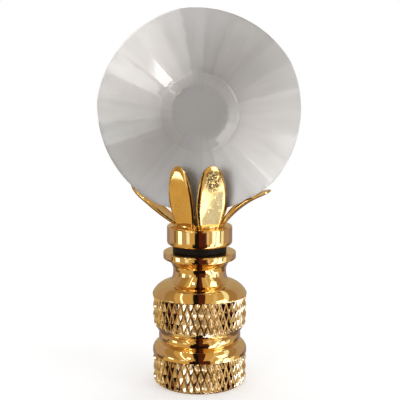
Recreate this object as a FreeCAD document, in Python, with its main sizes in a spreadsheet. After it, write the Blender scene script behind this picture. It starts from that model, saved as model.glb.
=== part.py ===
"""Crystal lamp finial: a cut-crystal disc in a petal cup on a knurled brass base.

All lengths are in millimetres. The origin is the centre of the base's bottom face, +Z runs up
the thread axis, and the crystal's front face looks along -Y.
"""
import FreeCAD, Part
import math
import os
import re

import Sketcher
from FreeCAD import Placement, Rotation, Vector

# Driving dimensions: name, value, what it measures.
SIZES = [
    ("foot_radius", 5.70, "radius of the bottom face, inside its chamfer"),
    ("foot_height", 0.50, "height of the bottom chamfer"),
    ("band_radius", 6.35, "radius of the knurled bands"),
    ("band_height", 3.82, "height of one knurled band"),
    ("knurl_count", 42, "diamonds round one band"),
    ("knurl_rows", 3, "half diamonds up one band"),
    ("knurl_depth", 0.32, "depth of the valleys between diamonds"),
    ("crest_inset", 0.02, "how far the diamond tips stay inside the band's rim"),
    ("core_inset", 0.35, "how far the core stays inside the upper band's lower rim"),
    ("lower_shoulder_height", 1.54, "height of the rounded shoulder on the lower band"),
    ("lower_shoulder_bend", 1.40, "bend radius of that shoulder"),
    ("waist_radius", 5.32, "radius of the crease under the waist bead"),
    ("bead_height", 1.27, "height of the waist bead"),
    ("bead_bend", 1.50, "bend radius of the waist bead"),
    ("band_edge_radius", 5.44, "radius at the foot of the upper band's chamfer"),
    ("band_edge_height", 1.43, "height of the upper band's lower chamfer"),
    ("edge_crest_inset", 0.02, "inset of the diamond tips at the foot of that chamfer"),
    ("edge_knurl_depth", 0.13, "depth of the valleys at the foot of that chamfer"),
    ("upper_shoulder_height", 1.58, "height of the rounded shoulder on the upper band"),
    ("upper_shoulder_bend", 2.70, "bend radius of that shoulder"),
    ("neck_edge_radius", 3.92, "radius of the crease where the neck leaves the shoulder"),
    ("neck_radius", 3.55, "smallest radius of the neck"),
    ("neck_lower_rise", 1.52, "height from the crease to the thinnest place of the neck"),
    ("neck_upper_rise", 1.62, "height from there to the flange"),
    ("flange_radius", 4.87, "radius of the flange on the neck"),
    ("flange_height", 0.95, "thickness of the flange"),
    ("flange_round", 0.16, "rounding of the flange's edges"),
    ("thread_bore_radius", 2.75, "radius of the threaded hole from below"),
    ("thread_depth", 9.50, "depth of the threaded hole"),
    ("thread_mouth", 0.45, "chamfer at the mouth of the threaded hole"),
    ("drill_cone", 1.20, "height of the drill point at the end of that hole"),
    ("washer_radius", 3.60, "radius of the black washer"),
    ("washer_height", 0.93, "thickness of the black washer"),
    ("collar_radius", 4.37, "radius of the collar"),
    ("collar_height", 2.58, "height of the collar"),
    ("collar_top_round", 0.22, "rounding of the collar's upper edge"),
    ("collar_foot_round", 0.45, "rounding of the collar's lower edge"),
    ("floor_radius", 3.46, "radius of the cup's floor"),
    ("floor_height", 0.45, "thickness of the cup's floor"),
    ("screw_radius", 1.50, "radius of the fixing screw's shank"),
    ("screw_length", 8.00, "length of the fixing screw under its head"),
    ("screw_head_radius", 2.55, "radius of the screw's head"),
    ("screw_head_height", 1.10, "height of the screw's head"),
    ("screw_head_round", 0.45, "rounding of the screw's head"),
    ("slot_width", 0.70, "width of the screw's slot"),
    ("slot_depth", 0.55, "depth of the screw's slot"),
    ("screw_hole_clearance", 0.15, "radial room round the screw in the stacked pieces"),
    ("screw_thread_clearance", 0.04, "radial room round the screw in the base"),
    ("screw_end_room", 0.60, "room under the end of the screw"),
    ("screw_drill_cone", 0.60, "height of the drill point under the screw"),
    ("petal_count", 6, "petals of the cup"),
    ("petal_turn", 24.0, "azimuth of the first petal from the front, in degrees"),
    ("petal_thickness", 0.36, "thickness of a petal"),
    ("petal_root_radius", 3.28, "distance of a petal's outer face from the axis at its root"),
    ("petal_root_width", 3.10, "width of a petal at its root"),
    ("petal_side_bend", 8.20, "bend radius of a petal's sides"),
    ("petal_tip_width", 1.90, "width of a petal where its rounded tip starts"),
    ("petal_tip_height", 0.53, "height of a petal's rounded tip"),
    ("upright_height", 8.30, "height of the front and back petals above the collar"),
    ("upright_bend", 24.0, "bend radius of the front and back petals, along their length"),
    ("left_petal_bend", 24.0, "bend radius of the left petal, which bows outwards"),
    ("right_petal_bend", 13.5, "bend radius of the right petal, which curls inwards"),
    ("left_tip_radius", 9.30, "distance of the left petal's tip from the axis"),
    ("right_tip_radius", 9.60, "distance of the right petal's tip from the axis"),
    ("petal_clearance", 0.08, "room between the crystal and the petals that clasp it"),
    ("right_petal_gap", 0.64, "room between the crystal and the bent right petal"),
    ("crystal_lift", 1.47, "height of the crystal's lowest point above the cup's floor"),
    ("crystal_radius", 13.28, "mean radius of the crystal"),
    ("lobe_count", 5, "shallow lobes of the crystal's outline"),
    ("lobe_rise", 0.10, "how far a lobe's corner stands outside the mean radius"),
    ("lobe_bend", 14.43, "bend radius of the outline between two corners"),
    ("crystal_turn", 3.3, "turn of the lobes and facets, in degrees"),
    ("lobe_facets", 5, "facets to one lobe"),
    ("girdle_half", 1.20, "half the crystal's thickness at its rim"),
    ("face_half", 3.90, "half its thickness at the foot of the boss"),
    ("boss_half", 4.50, "half its thickness over the flat bosses"),
    ("boss_radius", 3.60, "radius of the flat on the boss"),
    ("boss_foot_radius", 5.00, "radius of the boss at its foot"),
]
NAMES = {name for name, _, _ in SIZES}

# Stations up the axis, each from the pieces below it.
LOWER_BAND_TOP = "(foot_height + band_height)"
WAIST_FOOT = "(foot_height + band_height + lower_shoulder_height)"
BEAD_TOP = "(" + WAIST_FOOT + " + bead_height)"
UPPER_BAND_FOOT = "(" + BEAD_TOP + " + band_edge_height)"
UPPER_BAND_TOP = "(" + UPPER_BAND_FOOT + " + band_height)"
NECK_FOOT = "(" + UPPER_BAND_TOP + " + upper_shoulder_height)"
NECK_WAIST = "(" + NECK_FOOT + " + neck_lower_rise)"
FLANGE_FOOT = "(" + NECK_WAIST + " + neck_upper_rise)"
BASE_TOP = "(" + FLANGE_FOOT + " + flange_height)"
CORE_RADIUS = "(band_edge_radius - core_inset)"
COLLAR_FOOT = "(" + BASE_TOP + " + washer_height)"
COLLAR_TOP = "(" + COLLAR_FOOT + " + collar_height)"
FLOOR_TOP = "(" + COLLAR_TOP + " + floor_height)"
SCREW_HOLE = "(screw_radius + screw_hole_clearance)"
TAPPED_HOLE = "(screw_radius + screw_thread_clearance)"
SCREW_END = "(" + FLOOR_TOP + " - screw_length)"
SCREW_POINT = "(0.2 * screw_radius)"
CORNER_RADIUS = "(crystal_radius + lobe_rise)"
FACE_SLOPE = "((face_half - girdle_half) / (crystal_radius - boss_foot_radius))"
# The facets end in a level face of this radius, which the boss covers out to the wider one.
LEVEL_RADIUS = "(0.84 * boss_foot_radius)"
BOSS_ROOT = "(1.2 * boss_foot_radius)"
LEVEL_HALF = "(girdle_half + " + FACE_SLOPE + " * (crystal_radius - " + LEVEL_RADIUS + "))"
# A petal is cut from a strip of this width.
STRIP_WIDTH = "(2 * petal_root_width)"
# Shares of a petal's height at which it may meet the crystal, with its half width there.
CLASP_PLACES = (
    (0.45, "0.68 * petal_root_width"),
    (0.70, "0.578 * petal_root_width"),
    (0.93, "petal_tip_width / 2"),
)
# Largest error, in millimetres, in the place of an edge that is looked for.
PLACE_ERROR = 1e-4

os.makedirs("parts", exist_ok=True)
doc = FreeCAD.newDocument("crystal_lamp_finial")
sheet = doc.addObject("Spreadsheet::Sheet", "Sizes")
for row, (name, number, note) in enumerate(SIZES, start=1):
    sheet.set("A%d" % row, note)
    sheet.set("B%d" % row, str(number))
    sheet.setAlias("B%d" % row, name)
doc.recompute()


def formula(text):
    """The text with every size written as a reference to the sheet."""
    return re.sub(r"[a-z][a-z_]*", lambda m: "Sizes." + m[0] if m[0] in NAMES else m[0], text)


def value(text):
    """The number that a formula gives with the present sizes."""
    return float(sheet.evalExpression(formula(text)))


def bind(thing, path, text):
    thing.setExpression(path, formula(text))


def new_body(label):
    body = doc.addObject("PartDesign::Body", label + "_body")
    body.Label = label
    return body


def new_sketch(body, name, role):
    """A sketch on one of the body's own origin planes."""
    plane = next(f for f in body.Origin.OriginFeatures if f.Role == role)
    sketch = body.newObject("Sketcher::SketchObject", name)
    sketch.AttachmentSupport = [(plane, "")]
    sketch.MapMode = "FlatFace"
    return sketch


def arc_between(start, end, radius, turn):
    """An arc from start to end, turning left for turn +1 and right for turn -1."""
    chord = end - start
    reach = math.sqrt(max(radius ** 2 - (chord.Length / 2) ** 2, 0.0))
    left = Vector(-chord.y, chord.x, 0).normalize()
    centre = (start + end) * 0.5 + left * (turn * reach)
    angles = [math.atan2(p.y - centre.y, p.x - centre.x) for p in (start, end)]
    if turn < 0:
        angles.reverse()
    if angles[1] <= angles[0]:
        angles[1] += 2 * math.pi
    return Part.ArcOfCircle(Part.Circle(centre, Vector(0, 0, 1), radius), angles[0], angles[1])


def outline(sketch, stations):
    """Draw one closed outline.

    Each station is (across, up, bend): two formulas that place a corner, and None for a straight
    side to the next corner or (radius formula, turn) for a bent one.
    """
    corners = [Vector(value(across), value(up), 0) for across, up, _ in stations]
    sides = []
    for i, (_, _, bend) in enumerate(stations):
        start, end = corners[i], corners[(i + 1) % len(corners)]
        if bend is None:
            side = sketch.addGeometry(Part.LineSegment(start, end), False)
            sides.append((side, 1, 2))
            continue
        radius, turn = bend
        side = sketch.addGeometry(arc_between(start, end, value(radius), turn), False)
        sides.append((side, 1, 2) if turn > 0 else (side, 2, 1))
        rule = sketch.addConstraint(Sketcher.Constraint("Radius", side, value(radius)))
        bind(sketch, "Constraints[%d]" % rule, radius)
    for i, (across, up, _) in enumerate(stations):
        side, first, _ = sides[i]
        before, _, last = sides[i - 1]
        sketch.addConstraint(Sketcher.Constraint("Coincident", before, last, side, first))
        for kind, text, axis in (("DistanceX", across, -2), ("DistanceY", up, -1)):
            if text == "0":
                sketch.addConstraint(Sketcher.Constraint("PointOnObject", side, first, axis))
                continue
            number = value(text)
            rule = sketch.addConstraint(Sketcher.Constraint(kind, -1, 1, side, first, number))
            bind(sketch, "Constraints[%d]" % rule, text)


def turned(body, name, stations, role="XZ_Plane"):
    """The solid that the outline sweeps round the plane's own upright axis."""
    sketch = new_sketch(body, name + "_outline", role)
    outline(sketch, stations)
    feature = body.newObject("PartDesign::Revolution", name)
    feature.Profile = sketch
    feature.ReferenceAxis = (sketch, ["V_Axis"])
    feature.Angle = 360
    doc.recompute()


def padded(body, name, role, stations, length):
    """A plate of the outline, half of its length on each side of the plane."""
    sketch = new_sketch(body, name + "_outline", role)
    outline(sketch, stations)
    pad = body.newObject("PartDesign::Pad", name)
    pad.Profile = sketch
    pad.SideType = "Symmetric"
    bind(pad, "Length", length)
    doc.recompute()


def pocketed(body, name, sketch):
    """Cut the sketch's areas right through the body, both ways."""
    before = body.Shape.Volume
    pocket = body.newObject("PartDesign::Pocket", name)
    pocket.Profile = sketch
    pocket.SideType = "Symmetric"
    pocket.Type = "ThroughAll"
    doc.recompute()
    if body.Shape.Volume >= before:
        raise RuntimeError(name + " cut nothing")


def round_edge(body, name, radius, height, size):
    """Round the circular edge of the given radius at the given height."""
    r, z = value(radius), value(height)
    picked = []
    for i, edge in enumerate(body.Shape.Edges, start=1):
        curve = edge.Curve
        if isinstance(curve, Part.Circle) and abs(curve.Radius - r) < PLACE_ERROR:
            if abs(curve.Center.z - z) < PLACE_ERROR:
                picked.append("Edge%d" % i)
    turned_solid = body.Tip
    fillet = body.newObject("PartDesign::Fillet", name)
    fillet.Base = (turned_solid, picked)
    bind(fillet, "Radius", size)
    doc.recompute()


# Knurled base

def make_base_blank():
    """The turned base before knurling, its two bands turned down to the core."""
    body = new_body("base_blank")
    lower_cove = "((neck_lower_rise^2 + (neck_edge_radius - neck_radius)^2)" \
                 " / (2 * (neck_edge_radius - neck_radius)))"
    upper_cove = "((neck_upper_rise^2 + (flange_radius - neck_radius)^2)" \
                 " / (2 * (flange_radius - neck_radius)))"
    turned(body, "base_profile", [
        ("0", "0", None),
        ("foot_radius", "0", None),
        ("band_radius", "foot_height", None),
        (CORE_RADIUS, "foot_height", None),
        (CORE_RADIUS, LOWER_BAND_TOP, None),
        ("band_radius", LOWER_BAND_TOP, ("lower_shoulder_bend", 1)),
        ("waist_radius", WAIST_FOOT, ("bead_bend", 1)),
        ("band_edge_radius", BEAD_TOP, None),
        (CORE_RADIUS, BEAD_TOP, None),
        (CORE_RADIUS, UPPER_BAND_TOP, None),
        ("band_radius", UPPER_BAND_TOP, ("upper_shoulder_bend", 1)),
        ("neck_edge_radius", NECK_FOOT, (lower_cove, -1)),
        ("neck_radius", NECK_WAIST, (upper_cove, -1)),
        ("flange_radius", FLANGE_FOOT, None),
        ("flange_radius", BASE_TOP, None),
        ("0", BASE_TOP, None),
    ])
    round_edge(body, "flange_top_round", "flange_radius", BASE_TOP, "flange_round")
    round_edge(body, "flange_foot_round", "flange_radius", FLANGE_FOOT, "flange_round")
    return body


def make_bores():
    """The threaded hole from below and the fixing screw's hole from above, as solids to remove."""
    thread = new_body("thread_bore")
    turned(thread, "thread_bore_profile", [
        ("0", "0", None),
        ("thread_bore_radius + thread_mouth", "0", None),
        ("thread_bore_radius", "thread_mouth", None),
        ("thread_bore_radius", "thread_depth", None),
        ("0", "thread_depth + drill_cone", None),
    ])
    screw = new_body("screw_bore")
    turned(screw, "screw_bore_profile", [
        ("0", BASE_TOP, None),
        ("0", SCREW_END + " - screw_end_room - screw_drill_cone", None),
        (TAPPED_HOLE, SCREW_END + " - screw_end_room", None),
        (TAPPED_HOLE, BASE_TOP, None),
    ])
    return thread, screw


def make_knurl(label, levels):
    """A ring of diamond points between flat ends.

    Each level is (height, crest radius, valley radius). Round a level, crests and valleys take
    turns, and the next level starts half a diamond on, so that four facets fall from each crest
    to the valleys round it.
    """
    half_turns = 2 * int(value("knurl_count"))
    rings = []
    for number, (height, crest, valley) in enumerate(levels):
        ring = []
        for k in range(half_turns):
            angle = math.pi * 2 * k / half_turns
            radius = crest if (k + number) % 2 == 0 else valley
            ring.append(Vector(radius * math.cos(angle), radius * math.sin(angle), height))
        rings.append(ring)
    faces = [flat_face(rings[0]), flat_face(rings[-1])]
    for number in range(len(rings) - 1):
        lower, upper = rings[number], rings[number + 1]
        for k in range(half_turns):
            after = (k + 1) % half_turns
            if (k + number) % 2 == 0:
                faces.append(flat_face([lower[k], lower[after], upper[k]]))
                faces.append(flat_face([lower[after], upper[after], upper[k]]))
            else:
                faces.append(flat_face([lower[k], lower[after], upper[after]]))
                faces.append(flat_face([lower[k], upper[after], upper[k]]))
    shell = Part.Compound(faces)
    shell.sewShape()
    knurl = doc.addObject("Part::Feature", label)
    knurl.Label = label
    knurl.Shape = Part.makeSolid(shell.Shells[0])
    return knurl


def flat_face(points):
    return Part.Face(Part.makePolygon(points + points[:1]))


def make_knurled_base():
    blank = make_base_blank()
    crest = value("band_radius - crest_inset")
    valley = crest - value("knurl_depth")
    rows = int(value("knurl_rows"))
    step = value("band_height") / rows
    lower_foot = value("foot_height")
    upper_foot = value(UPPER_BAND_FOOT)
    edge_crest = value("band_edge_radius - edge_crest_inset")
    edge_valley = edge_crest - value("edge_knurl_depth")
    lower = [(lower_foot + step * i, crest, valley) for i in range(rows + 1)]
    upper = [(upper_foot + step * i, crest, valley) for i in range(rows + 1)]
    upper.insert(0, (value(BEAD_TOP), edge_crest, edge_valley))
    solid = doc.addObject("Part::MultiFuse", "knurled_solid")
    solid.Shapes = [blank, make_knurl("lower_knurl", lower), make_knurl("upper_knurl", upper)]
    solid.Refine = False
    for label, bore in zip(("threaded_solid", "knurled_base"), make_bores()):
        base = doc.addObject("Part::Cut", label)
        base.Base = solid
        base.Tool = bore
        base.Label = label
        base.Refine = False
        solid = base
    doc.recompute()
    return base


# Washer, collar and fixing screw

def make_washer():
    body = new_body("washer")
    turned(body, "washer_section", [
        (SCREW_HOLE, "0", None),
        ("washer_radius", "0", None),
        ("washer_radius", "washer_height", None),
        (SCREW_HOLE, "washer_height", None),
    ])
    body.Placement = Placement(Vector(0, 0, value(BASE_TOP)), Rotation())
    return body


def make_collar():
    body = new_body("collar")
    turned(body, "collar_section", [
        (SCREW_HOLE, "0", None),
        ("collar_radius", "0", None),
        ("collar_radius", "collar_height", None),
        (SCREW_HOLE, "collar_height", None),
    ])
    round_edge(body, "collar_top_edge", "collar_radius", "collar_height", "collar_top_round")
    round_edge(body, "collar_foot_edge", "collar_radius", "0", "collar_foot_round")
    body.Placement = Placement(Vector(0, 0, value(COLLAR_FOOT)), Rotation())
    return body


def make_screw():
    """A slotted round-head screw, its head's seat at its own zero."""
    body = new_body("fixing_screw")
    turned(body, "screw_section", [
        ("0", "0 - screw_length", None),
        ("screw_radius - " + SCREW_POINT, "0 - screw_length", None),
        ("screw_radius", "0 - screw_length + " + SCREW_POINT, None),
        ("screw_radius", "0", None),
        ("screw_head_radius", "0", None),
        ("screw_head_radius", "screw_head_height", None),
        ("0", "screw_head_height", None),
    ])
    round_edge(body, "head_edge", "screw_head_radius", "screw_head_height", "screw_head_round")
    sketch = new_sketch(body, "slot_outline", "XZ_Plane")
    outline(sketch, [
        ("0 - slot_width / 2", "screw_head_height - slot_depth", None),
        ("slot_width / 2", "screw_head_height - slot_depth", None),
        ("slot_width / 2", "screw_head_height + slot_depth", None),
        ("0 - slot_width / 2", "screw_head_height + slot_depth", None),
    ])
    pocketed(body, "slot", sketch)
    body.Placement = Placement(Vector(0, 0, value(FLOOR_TOP)), Rotation())
    return body


# Petal cup

def make_cup_floor():
    body = new_body("cup_floor")
    turned(body, "floor_section", [
        (SCREW_HOLE, "0", None),
        ("floor_radius", "0", None),
        ("floor_radius", "floor_height", None),
        (SCREW_HOLE, "floor_height", None),
    ])
    body.Placement = Placement(Vector(0, 0, value(COLLAR_TOP)), Rotation())
    return body


def make_petal(label, azimuth, tip_radius, tip_height, bend, turn):
    """One petal: a curved strip cut to a leaf.

    It is modelled with its root at its own zero and its tip straight up, its outer face towards
    -Y, then leant out and turned to its azimuth. turn is +1 where it bows outwards.
    """
    body = new_body(label)
    out = tip_radius - value("petal_root_radius")
    length = math.hypot(out, tip_height)
    reach = str(length)
    face = (bend, -turn)
    back = (bend, turn)
    padded(body, label + "_strip", "YZ_Plane", [
        ("0", "0", face),
        ("0", reach, None),
        ("petal_thickness", reach, back),
        ("petal_thickness", "0", None),
    ], STRIP_WIDTH)
    sketch = new_sketch(body, label + "_leaf", "XZ_Plane")
    tip = "((petal_tip_height^2 + (petal_tip_width / 2)^2) / (2 * petal_tip_height))"
    outline(sketch, [
        ("petal_root_width / 2", "0", ("petal_side_bend", 1)),
        ("petal_tip_width / 2", reach + " - petal_tip_height", (tip, 1)),
        ("0 - petal_tip_width / 2", reach + " - petal_tip_height", ("petal_side_bend", 1)),
        ("0 - petal_root_width / 2", "0", None),
    ])
    outline(sketch, [
        ("0 - " + STRIP_WIDTH, "0 - petal_root_width", None),
        (STRIP_WIDTH, "0 - petal_root_width", None),
        (STRIP_WIDTH, reach + " + petal_root_width", None),
        ("0 - " + STRIP_WIDTH, reach + " + petal_root_width", None),
    ])
    pocketed(body, label + "_leaf_cut", sketch)
    lean = math.degrees(math.atan2(out, tip_height))
    stand = Placement(Vector(0, -value("petal_root_radius"), value(COLLAR_TOP)),
                      Rotation(Vector(1, 0, 0), lean))
    body.Placement = Placement(Vector(), Rotation(Vector(0, 0, 1), azimuth)).multiply(stand)
    return body


def crystal_half(reach):
    """Half the crystal's thickness at a distance from the middle of its face."""
    return value("girdle_half") + value(FACE_SLOPE) * (value("crystal_radius") - reach)


def clasp_radius(azimuth, height):
    """How far a front or back petal's tip stands out so that it just clears the crystal."""
    root = value("petal_root_radius")
    middle = value("floor_height + crystal_lift + crystal_radius")
    away = abs((azimuth + 90) % 180 - 90)
    across, toward = math.sin(math.radians(away)), math.cos(math.radians(away))
    tip = root
    for share, width_formula in CLASP_PLACES:
        half_width = value(width_formula)
        radius = root
        for _ in range(4):
            sideways = radius * across + half_width * toward
            reach = math.hypot(sideways, middle - share * height)
            depth = crystal_half(reach) + value("petal_clearance") + half_width * across
            radius = depth / toward + value("petal_thickness")
        tip = max(tip, root + (radius - root) / share)
    return tip


def rim_height(tip_radius, gap):
    """Height over the collar of a side petal's outer face where it passes the crystal's rim."""
    middle = value("floor_height + crystal_lift + crystal_radius")
    reach = value("crystal_radius + petal_thickness") + gap
    return middle - math.sqrt(reach ** 2 - tip_radius ** 2)


def make_petal_cup():
    pieces = [make_cup_floor()]
    count = int(value("petal_count"))
    for number in range(count):
        azimuth = value("petal_turn") + 360.0 * number / count
        across, toward = math.sin(math.radians(azimuth)), math.cos(math.radians(azimuth))
        label = "petal_%d" % (number + 1)
        if abs(across) < abs(toward):
            height = value("upright_height")
            tip = clasp_radius(azimuth, height)
            pieces.append(make_petal(label, azimuth, tip, height, "upright_bend", 1))
        elif across < 0:
            tip = value("left_tip_radius")
            height = rim_height(tip, value("petal_clearance"))
            pieces.append(make_petal(label, azimuth, tip, height, "left_petal_bend", 1))
        else:
            tip = value("right_tip_radius")
            height = rim_height(tip, value("right_petal_gap"))
            pieces.append(make_petal(label, azimuth, tip, height, "right_petal_bend", -1))
    cup = doc.addObject("Part::MultiFuse", "petal_cup")
    cup.Label = "petal_cup"
    cup.Shapes = pieces
    cup.Refine = False
    doc.recompute()
    return cup


# Crystal

def lobed_disc(lobes):
    """The crystal's outline, a round of shallow lobes, as thick as the level faces."""
    body = new_body("lobed_disc")
    corners = []
    for lobe in range(lobes):
        angle = "(90 deg + 180 deg / (lobe_count * lobe_facets) + %d * 360 deg / lobe_count)" % lobe
        corners.append((CORNER_RADIUS + " * cos" + angle, CORNER_RADIUS + " * sin" + angle,
                        ("lobe_bend", 1)))
    padded(body, "disc", "XZ_Plane", corners, "2 * " + LEVEL_HALF)
    return body


def facet_cone(facets):
    """A low pyramid on each face, with flat facets, cut off level under the bosses."""
    sections = []
    outer = "(crystal_radius + girdle_half / " + FACE_SLOPE + ")"
    turn = 90 + 180.0 / facets
    places = (("front", LEVEL_RADIUS, -1), ("middle", outer, 0), ("back", LEVEL_RADIUS, 1))
    for label, apothem, side in places:
        polygon = doc.addObject("Part::RegularPolygon", label + "_polygon")
        bind(polygon, "Polygon", "lobe_count * lobe_facets")
        bind(polygon, "Circumradius", apothem + " / cos(180 deg / (lobe_count * lobe_facets))")
        stand = Rotation(Vector(1, 0, 0), 90).multiply(Rotation(Vector(0, 0, 1), turn))
        polygon.Placement = Placement(Vector(0, side * value(LEVEL_HALF), 0), stand)
        sections.append(polygon)
    cone = doc.addObject("Part::Loft", "facet_cone")
    cone.Sections = sections
    cone.Solid = True
    cone.Ruled = True
    return cone


def make_bosses():
    """The round flat-topped boss in the middle of each face, as one turned piece."""
    body = new_body("bosses")
    rise = "((boss_half - face_half) / (boss_foot_radius - boss_radius))"
    foot = "(boss_half - " + rise + " * (" + BOSS_ROOT + " - boss_radius))"
    turned(body, "boss_section", [
        ("0", "0 - boss_half", None),
        ("boss_radius", "0 - boss_half", None),
        (BOSS_ROOT, "0 - " + foot, None),
        (BOSS_ROOT, foot, None),
        ("boss_radius", "boss_half", None),
        ("0", "boss_half", None),
    ], role="XY_Plane")
    return body


def make_crystal():
    """The disc stands on edge, its middle at its own zero and its faces along Y."""
    lobes = int(value("lobe_count"))
    facets = lobes * int(value("lobe_facets"))
    faceted = doc.addObject("Part::Common", "faceted_disc")
    faceted.Base = lobed_disc(lobes)
    faceted.Tool = facet_cone(facets)
    crystal = doc.addObject("Part::Fuse", "crystal_disc")
    crystal.Label = "crystal_disc"
    crystal.Base = faceted
    crystal.Tool = make_bosses()
    doc.recompute()
    lift = value(FLOOR_TOP + " + crystal_lift + crystal_radius")
    crystal.Placement = Placement(Vector(0, 0, lift),
                                  Rotation(Vector(0, 1, 0), -value("crystal_turn")))
    return crystal


nodes = [make_knurled_base(), make_washer(), make_collar(), make_petal_cup(), make_screw(),
         make_crystal()]
doc.recompute()

for thing in doc.Objects:
    if "Invalid" in thing.State or "Error" in thing.State:
        raise RuntimeError("%s did not build" % thing.Label)
for node in nodes:
    if node.Shape.isNull() or not node.Shape.isValid():
        raise RuntimeError("%s has no valid shape" % node.Label)
for node in nodes:
    node.Shape.exportStep("parts/%s.step" % node.Label)
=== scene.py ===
import math

import bmesh
import bpy
from mathutils import Matrix, Vector


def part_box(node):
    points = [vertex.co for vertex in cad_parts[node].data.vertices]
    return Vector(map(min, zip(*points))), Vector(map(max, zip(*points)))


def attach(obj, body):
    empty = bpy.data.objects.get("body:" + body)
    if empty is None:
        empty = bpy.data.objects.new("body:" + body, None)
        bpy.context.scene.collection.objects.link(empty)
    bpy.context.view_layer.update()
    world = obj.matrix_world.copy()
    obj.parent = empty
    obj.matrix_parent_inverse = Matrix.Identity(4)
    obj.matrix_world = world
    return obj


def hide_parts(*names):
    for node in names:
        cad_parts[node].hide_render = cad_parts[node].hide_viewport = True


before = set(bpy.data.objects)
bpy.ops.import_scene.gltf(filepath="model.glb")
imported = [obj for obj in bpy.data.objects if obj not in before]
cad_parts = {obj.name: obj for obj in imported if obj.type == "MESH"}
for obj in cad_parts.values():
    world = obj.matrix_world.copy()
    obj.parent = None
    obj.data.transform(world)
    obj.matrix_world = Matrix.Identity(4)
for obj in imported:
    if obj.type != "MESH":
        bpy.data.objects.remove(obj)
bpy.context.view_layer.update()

bl_info = {
    "name": "Crystal Lamp Finial",
    "version": (1, 0, 0),
    "blender": (4, 5, 0),
    "location": "3D View > Sidebar > Finial",
    "description": "Dresses the packed finial: cut crystal, petal cup, turned and knurled brass",
    "category": "Object",
}

MM = 0.001
FULL_TURN = 2 * math.pi
BODY = "root"


def size_of(node):
    """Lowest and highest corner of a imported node, in millimetres."""
    low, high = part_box(node)
    return low / MM, high / MM


def length(name, description, default_mm):
    """A setting that is a length, with its default given in millimetres."""
    return bpy.props.FloatProperty(name=name, description=description, default=default_mm * MM,
                                   min=0.0, subtype="DISTANCE", unit="LENGTH", precision=5)


def tint(name, description, default):
    """A setting that is a colour."""
    return bpy.props.FloatVectorProperty(name=name, description=description, default=default,
                                         subtype="COLOR", size=3, min=0.0, max=1.0)


# Sizes and colours


class FinialBaseSettings(bpy.types.PropertyGroup):
    """Turned base with its two knurled bands."""

    band_radius: length("Band radius", "Radius of the knurled bands",
                        size_of("knurled_base")[1].x)
    knurl_depth: length("Knurl depth", "Depth of the grooves between diamonds", 0.40)
    knurl_rise: length("Diamond height", "Height of one diamond of the knurl", 2.62)
    knurl_count: bpy.props.IntProperty(
        name="Diamonds", description="Diamonds round one band", default=42, min=12, max=80)
    thread_pitch: length("Thread pitch", "Pitch of the internal thread", 25.4 / 27)
    thread_depth: length("Thread groove", "Depth of the internal thread's groove", 0.38)


class FinialCupSettings(bpy.types.PropertyGroup):
    """Petal cup, collar and washer."""

    petal_thickness: length("Petal thickness", "Thickness of a cast petal", 0.36)
    petal_edge: length("Petal edge", "Rounding of a petal's edges", 0.13)
    petal_roll: length("Petal roll", "How far a petal's outer face falls back at its edge", 0.17)
    collar_top_edge: length("Collar top edge", "Rounding of the collar's upper edge", 0.22)
    collar_foot_edge: length("Collar foot edge", "Rounding of the collar's lower edge", 0.45)
    washer_edge: length("Washer edge", "Rounding of the washer's edges", 0.12)


class FinialCrystalSettings(bpy.types.PropertyGroup):
    """Cut crystal disc."""

    facets: bpy.props.IntProperty(
        name="Facets", description="Facets round one face", default=25, min=6, max=60)
    softness: bpy.props.FloatProperty(
        name="Polish", description="Share of a facet that its polished edges take up",
        default=0.12, min=0.0, max=0.5, subtype="FACTOR")
    clarity: bpy.props.FloatProperty(
        name="Clarity", description="Share of light that passes straight into the crystal",
        default=0.90, min=0.0, max=1.0, subtype="FACTOR")
    smoke: bpy.props.FloatProperty(
        name="Smoke", description="Density of the grey in the glass, per metre", default=215.0,
        min=0.0)


class FinialColours(bpy.types.PropertyGroup):
    """Colours of the finishes."""

    turned_brass: tint("Turned brass", "Colour of the turned brass", (0.88, 0.66, 0.34))
    cast_brass: tint("Cast brass", "Colour of the cast petals", (0.90, 0.66, 0.31))
    # Painted shade: the colour that darkens the knurl's grooves
    groove: tint("Groove residue", "Colour of old polish in the knurl's grooves",
                 (0.42, 0.25, 0.09))
    tarnish: tint("Tarnish", "Colour of the specks on a front petal", (0.10, 0.075, 0.04))
    washer: tint("Washer", "Colour of the black washer", (0.006, 0.005, 0.005))
    steel: tint("Screw", "Colour of the zinc-plated screw", (0.60, 0.61, 0.62))
    crystal: tint("Crystal", "Tint of the crystal's surface", (0.93, 0.925, 0.92))
    smoke: tint("Smoke", "Colour of the grey in the crystal", (0.50, 0.48, 0.46))


class FinialStageSettings(bpy.types.PropertyGroup):
    """Floor, lights and camera."""

    floor_radius: length("Floor radius", "Radius of the floor before it fades out", 90.0)
    lamp_power: bpy.props.FloatProperty(
        name="Lamp power", description="Power of the main softbox, in watts", default=0.32,
        min=0.0)
    lens: bpy.props.FloatProperty(
        name="Lens", description="Focal length of the camera, in millimetres", default=85.5,
        min=20.0)


# Building helpers


def arc(start, end, radius, side, steps):
    """Points after start up to end on an arc whose centre is to the left (1) or right (-1)."""
    start, end = Vector(start), Vector(end)
    chord = end - start
    reach = math.sqrt(max(radius ** 2 - (chord.length / 2) ** 2, 0.0))
    left = Vector((-chord.y, chord.x)).normalized()
    centre = (start + end) / 2 + left * (side * reach)
    first = math.atan2(*(start - centre).yx)
    turn = math.atan2(*(end - centre).yx) - first
    turn = (turn + math.pi) % FULL_TURN - math.pi
    return [centre + radius * Vector((math.cos(first + turn * k / steps),
                                      math.sin(first + turn * k / steps)))
            for k in range(1, steps + 1)]


def line(start, end, steps):
    """Points after start up to end on a straight run."""
    start, end = Vector(start), Vector(end)
    return [start.lerp(end, k / steps) for k in range(1, steps + 1)]


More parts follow.
